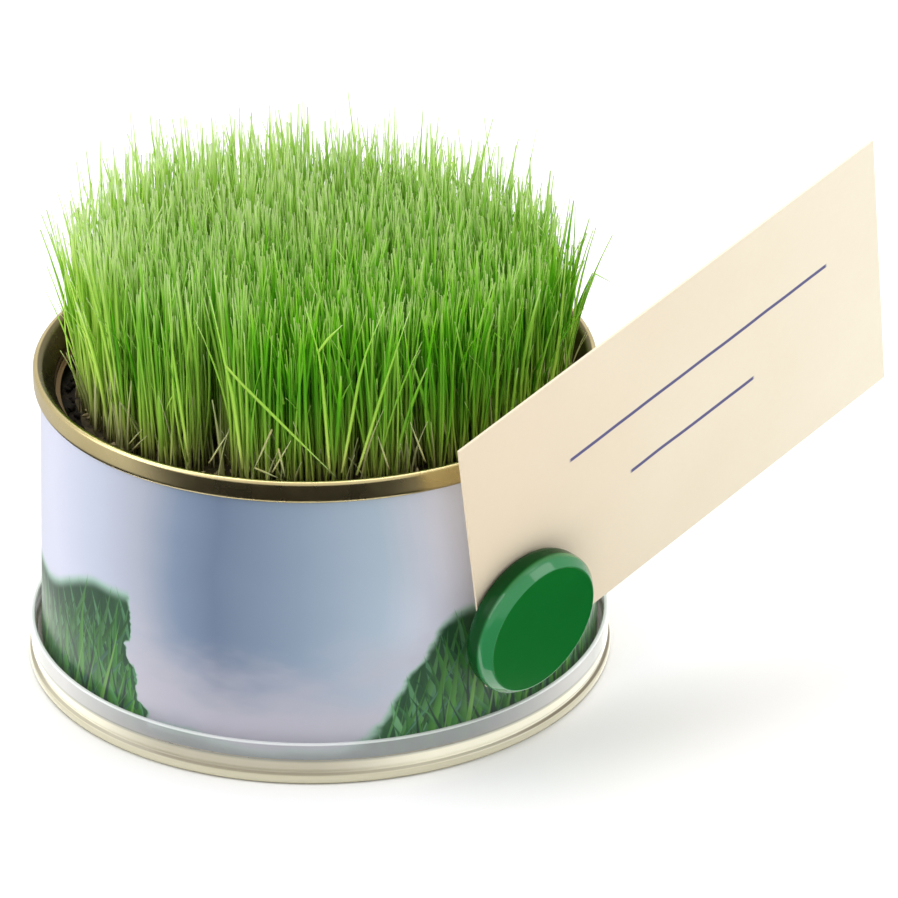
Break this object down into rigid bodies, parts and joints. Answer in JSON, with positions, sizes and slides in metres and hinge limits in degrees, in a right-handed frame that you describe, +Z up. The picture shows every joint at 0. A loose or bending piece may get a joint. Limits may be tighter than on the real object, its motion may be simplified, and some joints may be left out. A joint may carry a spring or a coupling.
{
  "type": "tin of growing grass",
  "caption": "Low round tin of young lawn grass in a clear press-on lid, with a paper label and a card held by a button magnet.",
  "frame": {"origin": "centre of the clear lid's flat underside, which the part stands on", "axes": "+Z up; the card and the magnet face -Y, and the card reaches out to +X"},
  "size_m": [0.1246, 0.1029, 0.0837],
  "materials": {
    "tin_wall": "satin",
    "rim": "gloss",
    "base": "gloss",
    "label": "satin",
    "clear_plastic": "gloss",
    "soil": "matte",
    "grass": "satin",
    "magnet_plastic": "gloss",
    "ferrite": "matte",
    "card_stock": "matte"
  },
  "bodies": {
    "root": {"tin_body": "tin_wall", "top_ring": "rim", "tin_base": "base", "label": "label", "clear_lid": "clear_plastic", "soil": "soil", "grass_sward": "grass", "magnet_cap": "magnet_plastic", "magnet_core": "ferrite", "card": "card_stock"}
  },
  "joints": []
}
